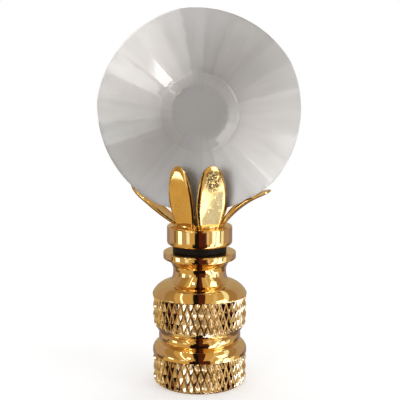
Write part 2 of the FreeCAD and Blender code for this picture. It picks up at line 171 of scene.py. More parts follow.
def turned(profile, steps, closed=False):
    """A mesh turned round the upright axis from a profile of (radius, height) in millimetres."""
    bm = bmesh.new()
    verts = [bm.verts.new((p[0] * MM, 0.0, p[1] * MM)) for p in profile]
    edges = [bm.edges.new(pair) for pair in zip(verts, verts[1:])]
    if closed:
        edges.append(bm.edges.new((verts[-1], verts[0])))
    bmesh.ops.spin(bm, geom=verts + edges, cent=(0, 0, 0), axis=(0, 0, 1), angle=FULL_TURN,
                   steps=steps, use_merge=True)
    bmesh.ops.remove_doubles(bm, verts=bm.verts, dist=1e-7)
    bmesh.ops.recalc_face_normals(bm, faces=bm.faces)
    return bm


def finish_piece(bm, name, material, replaced, crease=35.0):
    """Make an object of the mesh, shaded smooth but for creases, riding on the finial."""
    mesh = bpy.data.meshes.new(name)
    bm.to_mesh(mesh)
    bm.free()
    mesh.shade_smooth()
    mesh.set_sharp_from_angle(angle=math.radians(crease))
    mesh.materials.append(material)
    piece = bpy.data.objects.new(name, mesh)
    bpy.context.scene.collection.objects.link(piece)
    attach(piece, BODY)
    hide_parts(replaced)


def soft_min(a, b, width):
    """The smaller of two numbers, blended where they are closer than width."""
    blend = max(width - abs(a - b), 0.0) / width
    return min(a, b) - blend * blend * width / 4


# Material helpers


def new_surface(name):
    """A material with a Principled shader, and its node tree and shader."""
    material = bpy.data.materials.new(name)
    material.use_nodes = True
    tree = material.node_tree
    tree.nodes.clear()
    output = tree.nodes.new("ShaderNodeOutputMaterial")
    shader = tree.nodes.new("ShaderNodeBsdfPrincipled")
    tree.links.new(shader.outputs["BSDF"], output.inputs["Surface"])
    return material, tree, shader


def put(tree, kind, inputs=None, **settings):
    """Add a node, set its options, and set or link its inputs."""
    made = tree.nodes.new(kind)
    for key, value in settings.items():
        setattr(made, key, value)
    for key, value in (inputs or {}).items():
        if isinstance(value, bpy.types.NodeSocket):
            tree.links.new(value, made.inputs[key])
        else:
            made.inputs[key].default_value = value
    return made


def maths(tree, operation, a, b=0.0, clamp=False):
    """Result of one sum on numbers or sockets."""
    made = put(tree, "ShaderNodeMath", {0: a, 1: b}, operation=operation, use_clamp=clamp)
    return made.outputs[0]


def blended(tree, factor, first, second):
    """Colour mix of two colours or sockets."""
    made = put(tree, "ShaderNodeMix", {0: factor, 6: first, 7: second}, data_type="RGBA")
    return made.outputs[2]


def spread(tree, socket, low, high, out_low, out_high):
    """A value moved from one range to another, and held at the ends."""
    made = put(tree, "ShaderNodeMapRange", {
        "Value": socket, "From Min": low, "From Max": high, "To Min": out_low,
        "To Max": out_high})
    return made.outputs["Result"]


def grain(tree, stretch, detail=3.0, roughness=0.5, distortion=0.0):
    """Noise on the object's own coordinates, stretched by a scale for each axis."""
    place = put(tree, "ShaderNodeTexCoord")
    mapping = put(tree, "ShaderNodeMapping", {"Vector": place.outputs["Object"],
                                              "Scale": stretch})
    made = put(tree, "ShaderNodeTexNoise", {
        "Vector": mapping.outputs["Vector"], "Scale": 1.0, "Detail": detail,
        "Roughness": roughness, "Distortion": distortion})
    return made.outputs["Fac"]


def solid(colour, shares=(1.0, 1.0, 1.0)):
    """An opaque colour, with each channel multiplied by its share."""
    return tuple(channel * share for channel, share in zip(colour, shares)) + (1.0,)


def height_of(tree):
    """Height on the object's own coordinates, in metres."""
    place = put(tree, "ShaderNodeTexCoord").outputs["Object"]
    return put(tree, "ShaderNodeSeparateXYZ", {"Vector": place}).outputs["Z"]


# Shares of a brass's colour where its tone drifts, and in the knurl, where a painted highlight
# makes it paler
DRIFTED_BRASS = (0.93, 0.86, 0.72)
KNURL_PAINTED_SHEEN = (0.96, 1.10, 1.65)
# Roughness of polished brass from its brightest to its dullest, and what a full groove adds
BRASS_POLISH = (0.035, 0.10)
GROOVE_DULLNESS = 0.25


def brass(name, colour, groove, turned_on_lathe):
    """Polished brass: drifting tone and soft cloudy polish, with tool marks or casting pits.

    Its "groove" attribute tells where painted shade darkens the knurl's grooves, on turned brass,
    and where tarnish has stayed, on a cast petal.
    """
    material, tree, shader = new_surface(name)
    cloud = grain(tree, (260, 260, 260), 4.0, 0.55, 0.4)
    tone = blended(tree, spread(tree, cloud, 0.35, 0.7, 0.0, 1.0), solid(colour),
                   solid(colour, DRIFTED_BRASS))
    if turned_on_lathe:
        # Painted highlight: the knurl bands are paler, so that their glints read whiter
        up = height_of(tree)
        for _, low, high in KNURL_BANDS:
            above = maths(tree, "GREATER_THAN", up, low * MM)
            below = maths(tree, "LESS_THAN", up, (high - 0.1) * MM)
            sheen_band = maths(tree, "MULTIPLY", above, below)
            tone = blended(tree, sheen_band, tone, solid(colour, KNURL_PAINTED_SHEEN))
    groove_shade_and_tarnish = put(tree, "ShaderNodeAttribute", attribute_name="groove").outputs["Fac"]
    if not turned_on_lathe:
        specks = grain(tree, (4600, 4600, 3600), 3.0, 0.6)
        groove_shade_and_tarnish = maths(tree, "MULTIPLY", groove_shade_and_tarnish, spread(tree, specks, 0.36, 0.52, 0.0, 1.0))
    # Painted shade in the knurl's grooves on turned brass, tarnish specks on a cast petal
    tone = blended(tree, groove_shade_and_tarnish, tone, solid(groove))
    tree.links.new(tone, shader.inputs["Base Color"])
    shader.inputs["Metallic"].default_value = 1.0
    smear = grain(tree, (900, 900, 900), 3.0, 0.6, 1.0)
    gloss = spread(tree, smear, 0.3, 0.75, *BRASS_POLISH)
    gloss = maths(tree, "ADD", gloss, maths(tree, "MULTIPLY", groove_shade_and_tarnish, GROOVE_DULLNESS))
    tree.links.new(gloss, shader.inputs["Roughness"])
    height = grain(tree, (420, 420, 420), 2.0, 0.4)
    bump = put(tree, "ShaderNodeBump", {"Height": height, "Strength": 0.10,
                                        "Distance": 0.00006})
    if turned_on_lathe:
        rings = grain(tree, (30, 30, 24000), 2.0, 0.6)
        bump = put(tree, "ShaderNodeBump", {
            "Height": rings, "Strength": 0.06, "Distance": 0.000004,
            "Normal": bump.outputs["Normal"]})
    else:
        place = put(tree, "ShaderNodeTexCoord").outputs["Object"]
        cells = put(tree, "ShaderNodeTexVoronoi", {"Vector": place, "Scale": 5200.0},
                    feature="F1")
        patch = grain(tree, (480, 480, 300), 2.0, 0.5)
        where = spread(tree, patch, 0.52, 0.62, 0.0, 1.0)
        pit = maths(tree, "LESS_THAN", cells.outputs["Distance"], 0.42)
        pit = maths(tree, "MULTIPLY", pit, where)
        bump = put(tree, "ShaderNodeBump", {
            "Height": maths(tree, "SUBTRACT", 1.0, pit), "Strength": 0.5,
            "Distance": 0.00004, "Normal": bump.outputs["Normal"]})
    tree.links.new(bump.outputs["Normal"], shader.inputs["Normal"])
    return material


def rubber(name, colour):
    """Matt black fibre washer, with a faint grain and paler scuffs."""
    material, tree, shader = new_surface(name)
    scuff = grain(tree, (700, 700, 2400), 5.0, 0.65)
    pale = tuple(channel + 0.012 for channel in colour)
    tone = blended(tree, spread(tree, scuff, 0.5, 0.8, 0.0, 1.0), solid(colour), solid(pale))
    tree.links.new(tone, shader.inputs["Base Color"])
    tree.links.new(spread(tree, scuff, 0.3, 0.7, 0.45, 0.65), shader.inputs["Roughness"])
    shader.inputs["Specular IOR Level"].default_value = 0.2
    bump = put(tree, "ShaderNodeBump", {"Height": grain(tree, (2600, 2600, 2600), 4.0, 0.6),
                                        "Strength": 0.3, "Distance": 0.00002})
    tree.links.new(bump.outputs["Normal"], shader.inputs["Normal"])
    return material


# Shares of the zinc's colour where its cloudy plating is warm
WARM_ZINC = (0.9, 0.86, 0.78)


def zinc(name, colour):
    """Zinc-plated steel, cloudy, with turning marks round its axis."""
    material, tree, shader = new_surface(name)
    cloud = grain(tree, (800, 800, 800), 4.0, 0.6)
    tone = blended(tree, spread(tree, cloud, 0.4, 0.7, 0.0, 1.0), solid(colour),
                   solid(colour, WARM_ZINC))
    tree.links.new(tone, shader.inputs["Base Color"])
    shader.inputs["Metallic"].default_value = 1.0
    tree.links.new(spread(tree, cloud, 0.3, 0.7, 0.22, 0.38), shader.inputs["Roughness"])
    bump = put(tree, "ShaderNodeBump", {"Height": grain(tree, (60, 60, 16000), 2.0, 0.6),
                                        "Strength": 0.1, "Distance": 0.00001})
    tree.links.new(bump.outputs["Normal"], shader.inputs["Normal"])
    return material


# Share of the crystal's colour where its facets are darkest, by uneven tone and by painted shade
DARK_FACET_TONE_AND_SHADE = (0.62, 0.62, 0.62)
# Distances from the crystal's middle, in millimetres, between which the streaks of its
# facets set in, and between which painted shade darkens it towards its rim
STREAK_START = (5.0, 5.6)
RIM_SHADE = (7.0, 13.0)
CRYSTAL_IOR = 1.52


def cut_glass(name, colour, smoke, sizes):
    """Smoky cut crystal: grey in its depth, its facets streaked, with a soft bloom under a
    polished coat.

    Its "cut" attribute holds how light each facet is painted: uneven tone from facet to facet, and
    painted light along one line through the middle.
    """
    material, tree, shader = new_surface(name)
    output = next(node for node in tree.nodes if node.type == "OUTPUT_MATERIAL")
    depth = put(tree, "ShaderNodeVolumeAbsorption", {
        "Color": solid(smoke), "Density": sizes.smoke})
    tree.links.new(depth.outputs["Volume"], output.inputs["Volume"])
    place = put(tree, "ShaderNodeTexCoord").outputs["Object"]
    centred = put(tree, "ShaderNodeVectorMath", {
        0: place, 1: (0.0, 0.0, -CRYSTAL["middle"] * MM)}).outputs["Vector"]
    split = put(tree, "ShaderNodeSeparateXYZ", {"Vector": centred})
    round_it = maths(tree, "ARCTAN2", split.outputs["Z"], split.outputs["X"])
    apart = put(tree, "ShaderNodeVectorMath", {0: centred}, operation="LENGTH")
    polar = put(tree, "ShaderNodeCombineXYZ", {
        "X": maths(tree, "MULTIPLY", round_it, 9.0),
        "Y": maths(tree, "MULTIPLY", apart.outputs["Value"], 130.0)})
    streak = put(tree, "ShaderNodeTexNoise", {
        "Vector": polar.outputs["Vector"], "Scale": 1.0, "Detail": 4.0, "Roughness": 0.6})
    # Painted light: facets along one line through the middle are lighter, mixed with uneven tone
    cut = put(tree, "ShaderNodeAttribute", attribute_name="cut").outputs["Fac"]
    facet = spread(tree, apart.outputs["Value"], STREAK_START[0] * MM, STREAK_START[1] * MM,
                   0.0, 1.0)
    lines = blended(tree, facet, (0.5, 0.5, 0.5, 1.0), streak.outputs["Fac"])
    tone_and_painted_light = maths(tree, "ADD", maths(tree, "MULTIPLY", lines, 0.5),
                  maths(tree, "MULTIPLY", cut, 0.6))
    # Painted shade: the glass is darker towards its rim
    rim = spread(tree, apart.outputs["Value"], RIM_SHADE[0] * MM, RIM_SHADE[1] * MM, 0.0, 0.22)
    tone_and_painted_light = maths(tree, "SUBTRACT", tone_and_painted_light, rim)
    tone = blended(tree, spread(tree, tone_and_painted_light, 0.25, 0.85, 0.0, 1.0),
                   solid(colour, DARK_FACET_TONE_AND_SHADE), solid(colour))
    tree.links.new(tone, shader.inputs["Base Color"])
    shader.inputs["Transmission Weight"].default_value = sizes.clarity
    shader.inputs["IOR"].default_value = CRYSTAL_IOR
    smear = grain(tree, (500, 500, 500), 3.0, 0.5)
    tree.links.new(spread(tree, smear, 0.3, 0.7, 0.46, 0.54), shader.inputs["Roughness"])
    shader.inputs["Coat Weight"].default_value = 1.0
    shader.inputs["Coat Roughness"].default_value = 0.05
    bump = put(tree, "ShaderNodeBump", {"Height": grain(tree, (240, 240, 240), 2.0, 0.4),
                                        "Strength": 0.08, "Distance": 0.00005})
    tree.links.new(bump.outputs["Normal"], shader.inputs["Normal"])
    return material


# Pieces


# Radius and height of the places that the base's profile runs through, in millimetres
BASE_PROFILE = {
    "foot": (5.70, 0.0), "band_foot": (6.35, 0.50), "band_top": (6.35, 4.32),
    "waist": (5.32, 5.86), "bead_top": (5.44, 7.13), "upper_foot": (6.35, 8.56),
    "upper_top": (6.35, 12.38), "neck_foot": (3.92, 13.96), "neck": (3.55, 15.48),
    "flange_foot": (4.87, 17.10), "flange_top": (4.87, 18.05),
}
# The threaded bore: its radius, its chamfer, its end and the depth of the drill's cone there
THREAD_RADIUS = 2.75
THREAD_MOUTH = 0.45
THREAD_END = 9.5
DRILL_CONE = 1.2
# Over this length the thread runs out at its end
THREAD_RUNOUT = 0.8
# The screw's blind hole from above: its radius, its end and the tip of its cone
SCREW_BORE = (1.54, 13.41, 12.81)
FLANGE_EDGE = 0.16
# The knurl runs out between these distances under a band's top edge
KNURL_RUNOUT = (0.30, 0.06)


def band_side(foot, top):
    """A band's upright side, with closer rows where the knurl runs out under its top edge."""
    top = Vector(top)
    last = top - Vector((0, KNURL_RUNOUT[0]))
    return line(foot, last, 17) + line(last, top - Vector((0, KNURL_RUNOUT[1])), 3) + [top]


def base_outline(rows):
    """Profile of the base from the end of its thread round to the screw's hole."""
    at = BASE_PROFILE
    edge = FLANGE_EDGE
    foot_flange = (at["flange_foot"][0] - edge, at["flange_foot"][1])
    side_foot = (at["flange_foot"][0], at["flange_foot"][1] + edge)
    side_top = (at["flange_top"][0], at["flange_top"][1] - edge)
    top_flange = (at["flange_top"][0] - edge, at["flange_top"][1])
    points = [Vector((0.0, THREAD_END + DRILL_CONE))]
    points += line(points[-1], (THREAD_RADIUS, THREAD_END), 3)
    points += line(points[-1], (THREAD_RADIUS, THREAD_MOUTH), rows)
    points += line(points[-1], (THREAD_RADIUS + THREAD_MOUTH, 0.0), 2)
    points += line(points[-1], at["foot"], 3)
    points += line(points[-1], at["band_foot"], 3)
    points += band_side(points[-1], at["band_top"])
    points += arc(points[-1], at["waist"], 1.40, 1, 14)
    points += arc(points[-1], at["bead_top"], 1.5, 1, 12)
    points += line(points[-1], at["upper_foot"], 7)
    points += band_side(points[-1], at["upper_top"])
    points += arc(points[-1], at["neck_foot"], 2.70, 1, 16)
    points += arc(points[-1], at["neck"], 3.31, -1, 10)
    points += arc(points[-1], foot_flange, 1.65, -1, 12)
    points += arc(points[-1], side_foot, edge, 1, 4)
    points += line(points[-1], side_top, 3)
    points += arc(points[-1], top_flange, edge, 1, 4)
    bore, bore_end, bore_tip = SCREW_BORE
    points += line(points[-1], (bore, at["flange_top"][1]), 3)
    points += line(points[-1], (bore, bore_end), 3)
    points += line(points[-1], (0.0, bore_tip), 2)
    return points


# Height of a row of diamonds in each band, and the band's knurled stretch, in millimetres
KNURL_BANDS = ((3.44, 0.05, 4.32), (12.04, 7.3, 12.38))
KNURL_TURN = math.radians(5.6)
# Share of the knurl's depth that the grooves' flat bottoms stand proud
GROOVE_FLAT = 0.15
# Share of the depth where painted shade begins in a groove, and over how much more it grows to
# full
GROOVE_SHADE_START = 0.7
GROOVE_SHADE_GROWTH = 0.15
# How far the diamonds' tips stay under the band's radius, and the least radius of the outside
TIP_SETBACK = 0.02
OUTSIDE = 4.9
STEPS_PER_DIAMOND = 12
ROWS_PER_TURN = 5


def knurl(angle, height, sizes):
    """How deep the knurl is at a place, from 0 on a diamond's tip to 1 in a groove."""
    for row, low, high in KNURL_BANDS:
        if low <= height <= high:
            around = (angle + math.pi / 2 - KNURL_TURN) * sizes.knurl_count / FULL_TURN
            up = (height - row) * MM / sizes.knurl_rise
            rising = abs((around + up + 0.5) % 1.0 - 0.5)
            falling = abs((around - up + 0.5) % 1.0 - 0.5)
            tip = soft_min(1.0 - 2 * rising, 1.0 - 2 * falling, 0.08)
            start, end = KNURL_RUNOUT
            runout = min(max((high - height - end) / (start - end), 0.0), 1.0)
            return (1.0 - min(max(tip, GROOVE_FLAT), 1.0)) * runout
    return 0.0


def make_base(sizes, material):
    """Spin the base, then press in the diamonds and cut the thread."""
    turns = (THREAD_END - THREAD_MOUTH) * MM / sizes.thread_pitch
    outline = base_outline(int(turns * ROWS_PER_TURN))
    bm = turned(outline, sizes.knurl_count * STEPS_PER_DIAMOND)
    groove = bm.verts.layers.float.new("groove")
    crest = sizes.band_radius - TIP_SETBACK * MM
    for vert in bm.verts:
        radius = math.hypot(vert.co.x, vert.co.y)
        angle = math.atan2(vert.co.y, vert.co.x)
        height = vert.co.z / MM
        target = radius
        in_bore = abs(radius / MM - THREAD_RADIUS) < 0.01
        if in_bore and THREAD_MOUTH < height < THREAD_END:
            phase = (vert.co.z / sizes.thread_pitch - angle / FULL_TURN) % 1.0
            runout = min((THREAD_END - height) / THREAD_RUNOUT, 1.0)
            target += sizes.thread_depth * (1 - abs(2 * phase - 1)) * runout
        elif radius > OUTSIDE * MM:
            deep = knurl(angle, height, sizes)
            pressed = crest - deep * sizes.knurl_depth
            if pressed < radius:
                # Painted shade: the deepest part of a groove is marked to be darker
                vert[groove] = min(max(0.0, deep - GROOVE_SHADE_START) / GROOVE_SHADE_GROWTH, 1.0)
                target = pressed
        if target != radius:
            vert.co.x *= target / radius
            vert.co.y *= target / radius
    split_along_grooves(bm)
    bmesh.ops.recalc_face_normals(bm, faces=bm.faces)
    finish_piece(bm, "knurled_base_looks", material, "knurled_base", crease=20.0)


# Least radius of the faces that are split, and the least difference within one, in millimetres
SPLIT_FROM = 5.5
SPLIT_RELIEF = 0.01


def split_along_grooves(bm):
    """Split each knurled quad along its lower diagonal, so that the grooves run clean."""
    for face in list(bm.faces):
        if len(face.verts) != 4:
            continue
        spans = [vert.co.xy.length for vert in face.verts]
        if max(spans) < SPLIT_FROM * MM or max(spans) - min(spans) < SPLIT_RELIEF * MM:
            continue
        first = spans[0] + spans[2] < spans[1] + spans[3]
        pair = (face.verts[0], face.verts[2]) if first else (face.verts[1], face.verts[3])
        bmesh.utils.face_split(face, pair[0], pair[1])


def ring_outline(inner, outer, low, high, foot_edge, top_edge):
    """Profile of a plain ring with rounded outer edges."""
    points = [Vector((inner, low)), Vector((outer - foot_edge, low))]
    points += arc(points[-1], (outer, low + foot_edge), foot_edge, 1, 6)
    points += line(points[-1], (outer, high - top_edge), 3)
    points += arc(points[-1], (outer - top_edge, high), top_edge, 1, 6)
    points += [Vector((inner, high))]
    return points


# Radius of the screw's hole through the collar, the washer and the cup
SCREW_HOLE = 1.65


def make_collar(sizes, material):
    """Turn the collar, with a "groove" attribute of 0, as no painted shade falls on it."""
    low, high = size_of("collar")
    profile = ring_outline(SCREW_HOLE, high.x, low.z, high.z, sizes.collar_foot_edge / MM,
                           sizes.collar_top_edge / MM)
    bm = turned(profile, 192, closed=True)
    bm.verts.layers.float.new("groove")
    finish_piece(bm, "collar_looks", material, "collar")


def make_washer(sizes, material):
    """Turn the washer that shows as the black band."""
    low, high = size_of("washer")
    edge = sizes.washer_edge / MM
    bm = turned(ring_outline(SCREW_HOLE, high.x, low.z, high.z, edge, edge), 128, closed=True)
    finish_piece(bm, "washer_looks", material, "washer")


# Azimuth in degrees, tip radius and tip height in mm, bend radius in mm (minus bends inwards),
# share of the full width, and how far its sides are raised over its middle in mm
PETALS = (
    (24.0, 4.167, 8.3, 24.0, 1.0, 0.04), (84.0, 9.60, 4.628, -13.5, 1.0, 0.45),
    (144.0, 4.981, 8.3, 24.0, 1.0, 0.04), (204.0, 4.167, 8.3, 24.0, 1.0, 0.04),
    (264.0, 9.30, 5.113, 24.0, 1.0, 0.45), (324.0, 4.981, 8.3, 24.0, 0.91, 0.04),
)
# Distance of the petals' roots from the axis
PETAL_ROOT = 3.28
# Half width of a petal at shares of its length, and about the largest of them
LEAF = ((0.0, 1.50), (0.10, 1.70), (0.22, 1.90), (0.38, 2.06), (0.55, 2.04), (0.70, 1.86),
        (0.83, 1.55), (0.93, 1.20), (1.0, 0.95))
LEAF_HALF = 2.0
# Where a petal's outer face starts to fall back, as a share of the way to its edge
ROLL_START = 0.80
# Shares of a petal's length over which its end is rounded, and over which its raised sides fade
ROUNDED_TIP = 0.1
CUPPING_FADE = 0.4
# The grid's rows are drawn together towards the petal's edge by this power
EDGE_ROWS = 1.5
# Edges of the raw petal sharper than this are rounded
PETAL_CREASE = math.radians(50)


def leaf_half_width(share):
    """Half the width of a petal at a share of its length, in millimetres."""
    for (low, first), (high, second) in zip(LEAF, LEAF[1:]):
        if share <= high:
            t = (share - low) / (high - low)
            return first + (second - first) * t
    return LEAF[-1][1]


def petal(azimuth, tip_radius, tip_height, bend, broad, cupped, sizes):
    """One petal, as a leaf cut from a grid, bent, thickened and turned to its place."""
    out = tip_radius - PETAL_ROOT
    reach = math.hypot(out, tip_height)
    lean = math.atan2(out, tip_height)
    bm = bmesh.new()
    bmesh.ops.create_grid(bm, x_segments=18, y_segments=26, size=1.0)
    sagitta = abs(bend) - math.sqrt(bend ** 2 - (reach / 2) ** 2)
    side = 1 if bend > 0 else -1
    rolled = {}
    for vert in bm.verts:
        u, v = vert.co.x, vert.co.y
        u = math.copysign(1 - (1 - abs(u)) ** EDGE_ROWS, u)
        v = 1 - (1 - v) ** EDGE_ROWS if v > 0 else v
        outward = math.sqrt(u * u + v * v - u * u * v * v) if v > 0 else abs(u)
        past = (outward - ROLL_START) / (1 - ROLL_START)
        rolled[vert] = sizes.petal_roll * max(past, 0.0) ** 2
        across = u * math.sqrt(1 - v * v / 2)
        up = v * math.sqrt(1 - u * u / 2) if v > 0 else v
        share = (up + 1) / 2
        limit = math.sqrt(max(1 - up * up, 1e-9))
        wide = max(-1.0, min(1.0, across / max(limit, 0.05))) if up > 0 else u
        tip = max((share - 1 + ROUNDED_TIP) / ROUNDED_TIP, 0.0)
        x = wide * leaf_half_width(share) * math.sqrt(max(1 - tip ** 2, 0.0)) * broad
        z = share * reach
        bow = sagitta * (1 - (2 * share - 1) ** 2)
        raised = cupped * (x / LEAF_HALF) ** 2 * min(1.0, (1 - share) / CUPPING_FADE)
        y = raised - side * bow
        vert.co = Vector((x, y, z)) * MM
    for face in bm.faces:
        if face.normal.y > 0:
            face.normal_flip()
    front = list(bm.faces)
    made = bmesh.ops.extrude_face_region(bm, geom=front)
    moved = [item for item in made["geom"] if isinstance(item, bmesh.types.BMVert)]
    bmesh.ops.translate(bm, verts=moved, vec=(0, sizes.petal_thickness, 0))
    for vert, roll in rolled.items():
        vert.co.y += roll
    bmesh.ops.remove_doubles(bm, verts=bm.verts, dist=2e-6)
    bmesh.ops.recalc_face_normals(bm, faces=bm.faces)
    sharp = [edge for edge in bm.edges
             if len(edge.link_faces) == 2 and edge.calc_face_angle() > PETAL_CREASE]
    bmesh.ops.bevel(bm, geom=sharp, offset=sizes.petal_edge, offset_type="OFFSET", segments=3,
                    profile=0.5, affect="EDGES", material=-1, clamp_overlap=True)
    stand = (Matrix.Rotation(math.radians(azimuth), 4, "Z")
             @ Matrix.Translation(Vector((0, -PETAL_ROOT, size_of("petal_cup")[0].z)) * MM)
             @ Matrix.Rotation(lean, 4, "X"))
    bmesh.ops.transform(bm, matrix=stand, verts=bm.verts)
    return bm


# Height of the middle, half height and half width of the tarnish on the right front petal,
# and the least distance from the axis on that petal's side
TARNISH = (28.0, 1.75, 1.35, 2.0)
# The floor that joins the petals: its radius, thickness and rounding
CUP_FLOOR = (3.46, 0.45, 0.12)


def make_cup(sizes, material):
    """The petals and the floor that joins them, as one cast piece."""
    low = size_of("petal_cup")[0].z
    radius, thick, edge = CUP_FLOOR
    whole = turned(ring_outline(SCREW_HOLE, radius, low, low + thick, edge, edge), 128,
                   closed=True)
    for place in PETALS:
        one = petal(*place, sizes)
        leaf = bpy.data.meshes.new("leaf")
        one.to_mesh(leaf)
        one.free()
        whole.from_mesh(leaf)
        bpy.data.meshes.remove(leaf)
    tarnish = whole.verts.layers.float.new("groove")
    middle, half_height, half_width, nearest = TARNISH
    azimuth = math.radians(PETALS[0][0])
    out = Vector((math.sin(azimuth), -math.cos(azimuth)))
    for vert in whole.verts:
        place = vert.co / MM
        aside = (place.x * out.y - place.y * out.x) / half_width
        above = (place.z - middle) / half_height
        if place.xy.dot(out) > nearest:
            vert[tarnish] = min(max(1.0 - aside ** 2 - above ** 2, 0.0) * 2.0, 1.0)
    finish_piece(whole, "petal_cup_looks", material, "petal_cup", crease=40.0)


# Sizes of the disc in millimetres and its turns in degrees. Its middle is a height, its
# corners stand out at "corner", and the half thicknesses are at the girdle, the boss's foot
# and its top.
CRYSTAL = {"radius": 13.28, "corner": 13.375, "outline_bend": 14.43, "girdle": 1.20,
           "foot_half": 3.90, "top_half": 4.50, "flat_radius": 3.60, "foot_radius": 5.00,
           "level_radius": 4.20, "turn": 3.3, "lobes": 5, "facet_turn": 3.6, "lobe_turn": 25.2,
           "middle": 36.76}


def crystal_rim(angle):
    """Distance of the crystal's outline from its middle: shallow arcs between five corners."""
    at = CRYSTAL
    lobe = FULL_TURN / at["lobes"]
    off = (angle - math.radians(at["lobe_turn"])) % lobe - lobe / 2
    near = at["corner"] * math.cos(lobe / 2)
    back = math.sqrt(at["outline_bend"] ** 2 - (at["corner"] * math.sin(lobe / 2)) ** 2) - near
    return -back * math.cos(off) + math.sqrt(at["outline_bend"] ** 2 - (back * math.sin(off)) ** 2)


# Painted light: facets along this line through the crystal's middle are painted lighter than those
# across it
PAINTED_LIGHT_WAY = math.radians(138)
# Middle, half width and depth of the shallow ditch round a boss, in millimetres, and the
# softness of the boss's top edge and foot
BOSS_DITCH = (5.05, 0.18, 0.05)
BOSS_TOP_SOFTNESS = 0.06
BOSS_FOOT_SOFTNESS = 0.05


def crystal_half(radius, angle, facets, softness):
    """Half the crystal's thickness at a distance and angle from the middle of its face."""
    at = CRYSTAL
    slope = (at["foot_half"] - at["girdle"]) / (at["radius"] - at["foot_radius"])
    pitch = FULL_TURN / facets
    place = angle - math.radians(at["facet_turn"])
    off = abs((place + pitch / 2) % pitch - pitch / 2) / pitch
    blend = max(off - (0.5 - softness / 2), 0.0) / max(softness / 2, 1e-6)
    off -= blend * blend * softness / 4
    level = at["girdle"] + slope * (at["radius"] - at["level_radius"])
    facet = at["girdle"] + slope * (at["radius"] - radius * math.cos(off * pitch))
    rise = (at["top_half"] - at["foot_half"]) / (at["foot_radius"] - at["flat_radius"])
    boss = at["top_half"] - rise * (radius - at["flat_radius"])
    boss = soft_min(at["top_half"], boss, BOSS_TOP_SOFTNESS)
    ditch = max(1.0 - abs(radius - BOSS_DITCH[0]) / BOSS_DITCH[1], 0.0) * BOSS_DITCH[2]
    return -soft_min(-min(facet, level), -boss, BOSS_FOOT_SOFTNESS) - ditch


# Distances of the rows of vertices on a face from its middle, and heights of those on the
# rim as shares of its half thickness
FACE_ROWS = (0.0, 1.2, 2.4, 3.2, 3.5, 3.6, 3.7, 3.9, 4.3, 4.7, 4.85, 4.95, 5.05, 5.15, 5.4, 6.0,
             7.0, 8.0, 9.0, 10.0, 11.0, 12.0, 12.7, 13.08, 13.24)
RIM_ROWS = (0.96, 0.48, 0.0, -0.48, -0.96)
# Vertices within this distance of the rim belong to it
RIM_REACH = 0.02
# Half thickness of the disc before it is cut
ROUGH_HALF = 4.0
STEPS_PER_FACET = 12
# From here outwards the rows follow the lobes of the outline
LOBES_FROM = 5.4
# Lightness of the boss, and how much of a facet's lightness is uneven from facet to facet rather
# than painted light along one line through the middle
BOSS_LIGHT = 0.3
UNEVEN = 0.4


def make_crystal(sizes, material):
    """Spin the disc about its own axis, then cut its outline, the facets and the bosses."""
    at = CRYSTAL
    rim = at["radius"]
    profile = [(radius, ROUGH_HALF) for radius in FACE_ROWS]
    profile += [(rim, share) for share in RIM_ROWS]
    profile += [(radius, -ROUGH_HALF) for radius in reversed(FACE_ROWS)]
    bm = turned(profile, sizes.facets * STEPS_PER_FACET)
    cut = bm.verts.layers.float.new("cut")
    for vert in bm.verts:
        radius = vert.co.xy.length / MM
        angle = math.atan2(vert.co.y, vert.co.x)
        share = min(max((radius - LOBES_FROM) / (rim - LOBES_FROM), 0.0), 1.0)
        moved = radius + (crystal_rim(angle) - rim) * share
        half = crystal_half(moved, angle, sizes.facets, sizes.softness)
        number = round((angle - math.radians(at["facet_turn"])) * sizes.facets / FULL_TURN)
        vert[cut] = BOSS_LIGHT
        if radius > at["foot_radius"]:
            uneven = math.sin(number % sizes.facets * 2.4 + math.copysign(1, vert.co.z)) ** 2
            # Painted light: facets lighter along one line through the middle, darker across it
            drawn = 0.5 + 0.5 * math.cos(2 * (number * FULL_TURN / sizes.facets - PAINTED_LIGHT_WAY))
            vert[cut] = UNEVEN * uneven + (1 - UNEVEN) * drawn
        if radius < rim - RIM_REACH:
            vert.co.z = math.copysign(half, vert.co.z) * MM
        else:
            vert.co.z *= half
        if radius > 0:
            vert.co.x *= moved / radius
            vert.co.y *= moved / radius
    stand = (Matrix.Translation((0, 0, at["middle"] * MM))
             @ Matrix.Rotation(math.radians(-at["turn"]), 4, "Y")
             @ Matrix.Rotation(math.radians(90), 4, "X"))
    bmesh.ops.transform(bm, matrix=stand, verts=bm.verts)
    bmesh.ops.recalc_face_normals(bm, faces=bm.faces)
    finish_piece(bm, "crystal_disc_looks", material, "crystal_disc", crease=60.0)


# Stage


# What stands round the finial and shows in its brass: boxes, cards and flags
WHITE_BOX = (3.10, 3.00, 2.90)
GREY_BOX = (0.80, 0.88, 0.98)
CREAM_CARD = (1.09, 1.18, 1.03)
PEACH_CARD = (0.90, 0.76, 0.66)
GOLD_CARD = (0.66, 0.46, 0.18)
TAN_CARD = (0.55, 0.42, 0.26)
OLIVE_CARD = (0.43, 0.40, 0.18)
BUFF_WALL = (0.49, 0.37, 0.30)
TAUPE_WALL = (0.34, 0.28, 0.30)
SAND_WALL = (0.50, 0.41, 0.28)
STRAW_CARD = (0.78, 0.65, 0.42)
UMBER_CARD = (0.40, 0.27, 0.12)
BROWN_FLAG = (0.17, 0.11, 0.08)
RUST_FLAG = (0.09, 0.02, 0.014)
BLACK_FLAG = (0.010, 0.007, 0.006)
